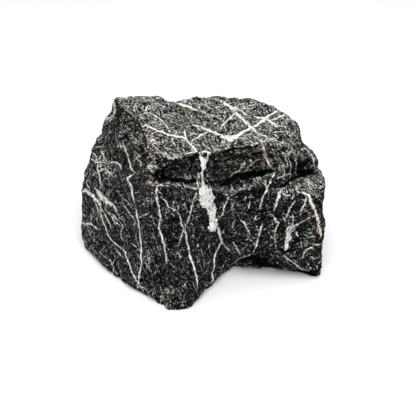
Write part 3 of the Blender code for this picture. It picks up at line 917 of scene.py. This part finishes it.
def vein_channels(points, tree):
    """Sorts the veins into as few channels as keep them apart, each with a vector per vertex.

    The second result holds the place across and along the broad veins, for their fibres."""
    channels = []
    weave = np.zeros((len(points), 3))
    for number, vein in enumerate(PHOTO_VEINS):
        for index, values, fibres in vein_fields(vein, number, points, tree):
            broad = fibres[:, 2] > BROAD_VEIN
            weave[index[broad]] = fibres[broad]
            for field, taken in channels:
                if not taken[index].any():
                    break
            else:
                field = np.tile(np.array(NO_VEIN), (len(points), 1))
                taken = np.zeros(len(points), bool)
                channels.append((field, taken))
            field[index] = values
            taken[index] = True
    return [field for field, taken in channels], weave


def shade_field(points, tree):
    """How much painted shade darkens the rock beside the edges that part a lit face from a shaded one."""
    field = np.zeros(len(points))
    for number, (reach, strength, line) in enumerate(SHADED_EDGES):
        edge = (2 * reach, strength, line)
        for index, values, fibres in vein_fields(edge, number + SHADE_SEED, points, tree):
            fall = np.clip(SHADE_END - values[:, 0] / fibres[:, 2], 0, 1)
            start = np.clip(values[:, 0] / SHADE_START + 0.5, 0, 1)
            field[index] = np.maximum(field[index], strength * fall * start)
    return field


def groove_field(points, tree):
    """How deep the cracks and creases cut at each vertex, in millimetres."""
    field = np.zeros(len(points))
    for number, (width, depth, line) in enumerate(GROOVES):
        for index, values, fibres in vein_fields((width, depth, line), number + GROOVE_SEED, points, tree):
            half = np.maximum(fibres[:, 2], GROOVE_LEAST)
            nearness = np.clip(GROOVE_END - abs(values[:, 0]) / half, 0, 1)
            ends = np.clip((values[:, 1] + VEIN_REACH) / VEIN_REACH, 0, 1)
            field[index] = np.maximum(field[index], depth * nearness * ends)
    return field


def patch_field(points, tree, patches, gather=np.maximum):
    """How far each vertex lies in one of the patches, times its strength."""
    field = np.zeros(len(points))
    for x, y, radius, strength in patches:
        hit, _ = seen_at(x, y, tree)
        if hit is not None:
            apart = np.linalg.norm(points - np.array(hit), axis=1)
            size = radius * PIXEL * CAMERA_DISTANCE
            field = gather(field, strength * np.exp(-(apart / size) ** 2))
    return field


def seen_field(points, edges, tree):
    """One where the camera's side shows a vertex, falling to zero where it doesn't."""
    seen = np.zeros((len(points), 1))
    for number, point in enumerate(points):
        ray = Vector(point) - EYE
        _, _, _, distance = tree.ray_cast(EYE * MM, ray.normalized())
        seen[number] = distance is not None and distance / MM > ray.length - SEEN_SLACK
    return smooth(seen, edges, SEEN_STEPS)[:, 0]


# ----- the material

class Limestone(Shading):
    """The rock's nodes, with the coordinates and patterns that several of them read."""

    def __init__(self, name):
        super().__init__(name)
        place = self.node("TexCoord", {}).outputs["Object"]
        self.where = self.scaled(place, 1 / MM)
        self.bent = self.warped(self.where, *WARP)
        self.bedded = self.squeezed(self.bent, BEDDING.normalized(), BEDDED_TIMES)
        self.upward = self.value("upward")
        # painted shade from the dark patches and shaded edges, mixed with darker and paler rock and painted
        # light
        self.dark = self.value("dark")
        # the grooves' depth, which also darkens them as painted shade
        self.groove = self.value("groove")
        self.cloud = self.noise(self.where, *CLOUDS)
        self.tiny = self.noise(self.where, *TINY_GRAIN)
        self.make_flecks()

    def make_flecks(self):
        """The grain and its small cells: even, streaked along the beds in the wing, combed on the top."""
        cleaved = self.squeezed(self.bent, CLEAVAGE.normalized(), CLEAVED_TIMES)
        combed = self.squeezed(self.bent, TOP_CLEAVAGE.normalized(), COMBED_TIMES)
        streaks = self.math("ADD", self.value("bedded"), self.times(self.cloud, STREAK_CLOUDS))
        streaks = self.between(streaks, *STREAK_RAMP)
        grain = self.mix(streaks, self.noise(cleaved, *EVEN_GRAIN), self.noise(self.bedded, *STREAKED_GRAIN))
        self.grain = self.mix(self.upward, grain, self.noise(combed, *COMBED_GRAIN))
        cells = self.mix(streaks, self.cells(cleaved, EVEN_CELLS), self.cells(self.bedded, STREAKED_CELLS))
        self.small_cells = self.mix(self.upward, cells, self.cells(combed, STREAKED_CELLS))


def fleck_stops(s):
    """How far the flecks move the lightness; on steep faces they spread less."""
    patch = s.noise(s.where, *PATCHES)
    spreads = ((s.grain, GRAIN_STOPS), (s.tiny, TINY_STOPS), (s.small_cells, CELL_STOPS),
               (s.cloud, CLOUD_STOPS), (patch, PATCH_STOPS))
    stops = s.summed(0.0, *((s.centred(pattern), spread) for pattern, spread in spreads))
    return s.math("MINIMUM", s.times(stops, s.mix(s.upward, STEEP_DARKS, 1.0)),
                  s.times(stops, s.mix(s.upward, STEEP_BRIGHTS, 1.0)))


def thread(s, where, noise_values, ramp, breaker, gaps):
    """Lines where a noise passes its middle, broken where another pattern is low."""
    apart = s.math("ABSOLUTE", s.centred(s.noise(where, *noise_values)))
    return s.times(s.between(apart, *ramp), s.between(breaker, *gaps))


def threads(s):
    """Short pale lines of calcite, in two sizes."""
    long = thread(s, s.where, *LONG_THREAD, s.cloud, LONG_THREAD_GAPS)
    short = thread(s, s.bedded, *SHORT_THREAD, s.grain, SHORT_THREAD_GAPS)
    return s.math("MAXIMUM", long, s.times(short, SHORT_THREAD_SHARE))


def hairlines(s):
    """Families of thin parallel lines, each in patches of its own."""
    families = []
    for direction, spacing, half, patches in HAIRLINES:
        flat = s.summed(s.flat(s.bent, direction), (s.cloud, HAIRLINE_DRIFT))
        apart = s.math("PINGPONG", flat, spacing / 2)
        there = s.ramped(s.where, patches, HAIRLINE_RAMP)
        families.append(s.edge(s.math("SUBTRACT", s.times(there, half), apart), HAIRLINE_EDGE))
    return s.times(s.greatest(families), s.between(s.grain, *HAIRLINE_GAPS))


def photo_veins(s, channel_count, broad):
    """The veins of the channels, with ragged edges."""
    wobble = s.swaying(s.where, *WOBBLE)
    ragged = s.swaying(s.where, *RAGGED)
    swelling = s.mix(broad, s.ramped(s.where, *SWELLING), 1.0)
    bites = s.times(s.centred(s.cloud), broad)
    masks = []
    for number in range(channel_count):
        across, half, tone = s.vector(f"vein_{number}")
        distance = s.math("ABSOLUTE", s.math("ADD", across, wobble))
        room = s.math("SUBTRACT", s.math("MULTIPLY_ADD", half, swelling, ragged), distance)
        mask = s.edge(s.summed(room, (bites, BROAD_BITES)), VEIN_EDGE)
        masks.append(s.times(mask, s.math("POWER", tone, VEIN_TONE_POWER)))
    return s.greatest(masks)


def scattered_sheets():
    """Planes of calcite through the stone: direction, distance from the middle and half width."""
    draw = random.Random(SHEET_SEED)
    sheets = []
    for _ in range(SHEET_COUNT):
        direction = Vector([draw.gauss(0, 1) for _ in range(3)])
        direction.z *= SHEET_STEEPNESS
        sheets.append((direction.normalized(), draw.uniform(-1, 1) * SHEET_SPREAD,
                       draw.uniform(*SHEET_HALVES)))
    return sheets


def calcite_sheets(s):
    """How far a point lies in one of the sheets, on the sides away from the camera."""
    bent = s.warped(s.where, *SHEET_WARP)
    ragged = s.swaying(s.where, *SHEET_RAGGED)
    patches = [s.noise(s.where, *values) for values in SHEET_PATCHES]
    masks = []
    for number, (direction, offset, half) in enumerate(scattered_sheets()):
        apart = s.math("SUBTRACT", s.flat(bent, direction), offset)
        apart = s.math("ABSOLUTE", s.math("ADD", apart, ragged))
        start = SHEET_STARTS[number % len(SHEET_STARTS)]
        there = s.between(patches[number % len(patches)], start, *SHEET_RAMP)
        masks.append(s.edge(s.math("SUBTRACT", s.times(there, half), apart), SHEET_EDGE))
    return s.times(s.greatest(masks), s.math("SUBTRACT", 1.0, s.value("seen")))


def calcite(s, channel_count):
    """Where calcite shows, and how light it is: thin veins break into beads, broad ones into fibres."""
    across, along, half = s.vector("weave")
    broad = s.between(half, BROAD_VEIN, BROADEST)
    woven = s.node("CombineXYZ", {0: s.times(across, FIBRE_ACROSS), 1: s.times(along, FIBRE_ALONG)})
    fibre = s.noise(woven.outputs[0], *FIBRES)
    beads = s.ramped(s.where, *BEADS)
    veins = photo_veins(s, channel_count, broad)
    strands = s.math("SUBTRACT", s.summed(fibre, (veins, STRAND_SHARE)), 1.0)
    strands = s.times(s.edge(strands, STRAND_EDGE), s.between(s.tiny, *STRAND_RAMP))
    veins = s.mix(broad, s.times(veins, s.mix(broad, beads, 1.0)), strands)
    veins = s.math("MAXIMUM", veins, s.times(calcite_sheets(s), beads))
    lightness = s.times(s.ramped(s.where, *CALCITE), s.mix(broad, 1.0, s.between(fibre, *FIBRE_RAMP)))
    return veins, lightness


def rock_value(s):
    """The rock's lightness: worn edges are lighter, pits darker as painted shade, and the top lighter as
    painted light.
    """
    rise = s.math("MINIMUM", s.math("MAXIMUM", s.value("rise"), -MOST_RISE), MOST_RISE)
    stops = s.summed(fleck_stops(s), (threads(s), THREAD_STOPS), (hairlines(s), HAIRLINE_STOPS),
                     (rise, RISE_WEAR_AND_PAINTED_SHADE_STOPS), (s.upward, UPWARD_PAINTED_LIGHT_STOPS), (s.value("leftward"), LEFTWARD_FLECKS_AND_PAINTED_LIGHT_STOPS),
                     (s.dark, DARK_AND_PAINTED_SHADE_STOPS), (s.groove, GROOVE_PAINTED_SHADE_STOPS))
    value = s.times(s.math("EXPONENT", stops), ROCK_VALUE)
    return s.math("MINIMUM", s.math("MAXIMUM", value, LEAST_VALUE), MOST_VALUE)


def limestone(channel_count):
    """The dark, flecked limestone with its calcite and its rust."""
    s = Limestone("seiryu_limestone")
    value = rock_value(s)
    veins, lightness = calcite(s, channel_count)

    stain = s.times(s.value("stain"), s.ramped(s.where, *STAINED), clamp=True)
    rust = s.math("MINIMUM", s.math("MULTIPLY_ADD", value, RUST_TIMES, RUST_LEAST), RUST_MOST)
    rock = s.mix(stain, s.tinted(value, ROCK_TINT), s.tinted(rust, RUST_TINT), "RGBA")
    white = s.mix(stain, s.tinted(lightness, CALCITE_TINT), s.tinted(lightness, RUSTY_CALCITE_TINT), "RGBA")
    # the calcite hides under the painted shade of the grooves and the dark patches
    bare = s.math("SUBTRACT", 1.0, s.times(s.groove, GROOVE_PAINTED_SHADE_HIDES))
    bare = s.times(bare, s.between(s.dark, *DARK_AND_PAINTED_SHADE_HIDES))
    colour = s.mix(s.times(veins, bare), rock, white, "RGBA")
    s.tree.links.new(colour, s.shader.inputs["Base Color"])

    s.tree.links.new(s.mix(veins, ROCK_ROUGHNESS, CALCITE_ROUGHNESS), s.shader.inputs["Roughness"])
    s.shader.inputs["Specular IOR Level"].default_value = SPECULAR
    height = s.math("MULTIPLY_ADD", s.centred(s.grain), BUMP_GRAIN, s.times(s.tiny, BUMP_TINY))
    bump = s.node("Bump", {"Height": height, "Strength": BUMP_STRENGTH, "Distance": BUMP_HEIGHT})
    s.tree.links.new(bump.outputs[0], s.shader.inputs["Normal"])
    return s.material


# ----- the piece

def store(mesh, name, values):
    """Keeps a value or a vector at every vertex."""
    values = np.asarray(values)
    kind = "FLOAT_VECTOR" if values.ndim == 2 else "FLOAT"
    attribute = mesh.attributes.new(name, kind, "POINT")
    attribute.data.foreach_set("vector" if values.ndim == 2 else "value", values.astype(np.float32).ravel())


def grown(values, start, reach):
    """A mask that is zero up to a start and grows to one over a reach."""
    return np.clip((values - start) / reach, 0, 1)


def surface_heights(points, depth, tree):
    """How far each vertex moves out, in millimetres, which is not at all at the base."""
    heights = np.array([relief(Vector(p)) for p in points]) - depth
    heights = heights + patch_field(points, tree, SWELLS, np.add)
    return heights * grown(points[:, 2], *BASE_RISE)


def kept_in(box, moved, points):
    """The moved points held inside the CAD's box, with the base flat on the floor."""
    moved = np.clip(moved, np.array(box[0]) / MM + BOX_GAP, np.array(box[1]) / MM - BOX_GAP)
    moved[points[:, 2] < BASE_HEIGHT, 2] = 0
    moved[moved[:, 2] < LEAST_HEIGHT, 2] = 0
    return moved


def join_base(mesh):
    """Makes the flat base a few large faces, in an order that is the same in every run."""
    bm = bmesh.new()
    bm.from_mesh(mesh)
    under = [f for f in bm.faces if all(v.co.z < FLOOR_TOUCH for v in f.verts)]
    verts = list(dict.fromkeys(v for f in under for v in f.verts))
    lines = list(dict.fromkeys(e for f in under for e in f.edges))
    bmesh.ops.dissolve_limit(bm, angle_limit=FLAT_ANGLE, verts=verts, edges=lines)
    bm.to_mesh(mesh)
    bm.free()


def make_stone(box):
    """The stone's fine surface, with the values that its material reads kept at every vertex."""
    stone = fine_copy(bpy.data.objects["stone"], "stone_surface")
    mesh = stone.data
    edges = read(mesh.edges, "vertices", 2, int)
    points = smooth(read(mesh.vertices, "co", 3) / MM, edges, KEEP_VOLUME)
    set_points(mesh, points)
    normals = read(mesh.vertices, "normal", 3)
    tree = BVHTree.FromObject(stone, bpy.context.evaluated_depsgraph_get())

    channels, weave = vein_channels(points, tree)
    # darker rock and painted shade, from the dark patches and the shaded edges
    dark = np.maximum(patch_field(points, tree, DARKS_AND_PAINTED_SHADE), shade_field(points, tree))
    depth = groove_field(points, tree)
    moved = points + normals * surface_heights(points, depth, tree)[:, None]
    lift = moved - smooth(moved, edges, RISE_STEPS)
    facing = smooth(normals, edges, FACING_STEPS)
    set_points(mesh, kept_in(box, moved, points))

    for number, channel in enumerate(channels):
        store(mesh, f"vein_{number}", channel)
    store(mesh, "weave", weave)
    store(mesh, "stain", patch_field(points, tree, STAINS))
    # the pale patches lift it again, with paler rock and painted light
    store(mesh, "dark", dark - patch_field(points, tree, PALES_AND_PAINTED_LIGHT))
    store(mesh, "seen", seen_field(points, edges, tree))
    store(mesh, "groove", np.minimum(1, depth))
    # how far a vertex stands out: pits get painted shade, edges wear lighter
    store(mesh, "rise", np.einsum("vk,vk->v", lift, normals))
    # how far a face turns upwards, for the grain and for painted light on the top
    store(mesh, "upward", grown(facing[:, 2], *UPWARD))
    # how far a face turns left, for its denser flecks and painted light
    store(mesh, "leftward", grown(-facing[:, 0], *LEFTWARD))
    store(mesh, "bedded", [bedded_share(Vector(p)) for p in points])

    join_base(mesh)
    mesh.shade_smooth()
    mesh.materials.clear()
    mesh.materials.append(limestone(len(channels)))
    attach(stone, "root")
    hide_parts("stone")


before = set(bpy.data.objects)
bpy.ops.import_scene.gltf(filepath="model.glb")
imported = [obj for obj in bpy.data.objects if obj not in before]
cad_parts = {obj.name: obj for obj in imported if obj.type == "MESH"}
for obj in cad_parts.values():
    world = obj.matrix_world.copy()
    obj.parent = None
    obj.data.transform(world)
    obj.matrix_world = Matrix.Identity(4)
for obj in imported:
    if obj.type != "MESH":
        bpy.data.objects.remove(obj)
cad_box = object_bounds()
bpy.context.scene.view_settings.view_transform = "Standard"
make_camera()
make_floor()
make_key_light()
make_sky()
make_stone(cad_box)
